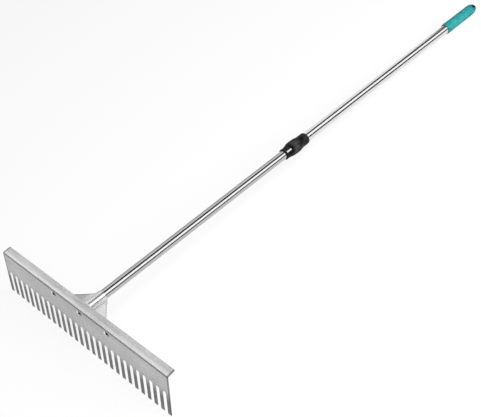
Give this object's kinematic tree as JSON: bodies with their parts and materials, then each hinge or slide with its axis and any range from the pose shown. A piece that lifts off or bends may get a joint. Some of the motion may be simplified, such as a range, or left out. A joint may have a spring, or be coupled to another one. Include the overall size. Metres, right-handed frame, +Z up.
{
  "type": "sand rake",
  "caption": "Sand rake with a pressed comb blade on a riveted socket, and a telescopic pole with a twist lock and a soft grip.",
  "frame": {"origin": "middle of the floor rectangle that the lying rake covers, at floor level", "axes": "+Z up; +Y along the pole from the blade towards the grip; +X along the blade, to the right of a person who stands in front of the blade and looks towards the grip"},
  "size_m": [0.6, 1.6732, 0.1248],
  "materials": {
    "blade_sheet": "plain rolled sheet with a faint lengthwise grain",
    "socket_sheet": "pressed bright sheet",
    "rivet": "bright dome heads",
    "screw": "zinc plated",
    "lower_tube": "polished drawn tube",
    "upper_tube": "bright anodised tube",
    "black_plastic": "moulded, fine spark texture",
    "grey_plastic": "moulded",
    "teal_rubber": "soft matt grip"
  },
  "bodies": {
    "head": {"rake_blade": "blade_sheet", "socket_plate": "socket_sheet", "blade_rivet_left": "rivet", "blade_rivet_centre": "rivet", "blade_rivet_right": "rivet", "socket_strap": "socket_sheet", "strap_screw_1": "screw", "strap_screw_2": "screw", "lower_tube": "lower_tube", "guide_bush": "grey_plastic"},
    "collet": {"lock_collet": "grey_plastic"},
    "upper_pole": {"lock_body": "black_plastic", "upper_tube": "upper_tube", "tube_plug": "grey_plastic", "grip": "teal_rubber"},
    "nut": {"lock_nut": "black_plastic"}
  },
  "joints": [
    {"name": "pole_slide", "type": "slide", "parent": "head", "child": "collet", "axis": [0, 0.9983, -0.0574], "range_m": [-0.6, 0]},
    {"name": "pole_twist", "type": "hinge", "parent": "collet", "child": "upper_pole", "pos_m": [0, -0.06886, 0.06697], "axis": [0, 0.9983, -0.0574], "continuous": true},
    {"name": "nut_turn", "type": "hinge", "parent": "upper_pole", "child": "nut", "pos_m": [0, -0.06886, 0.06697], "axis": [0, 0.9983, -0.0574], "range_deg": [-120, 0]}
  ]
}
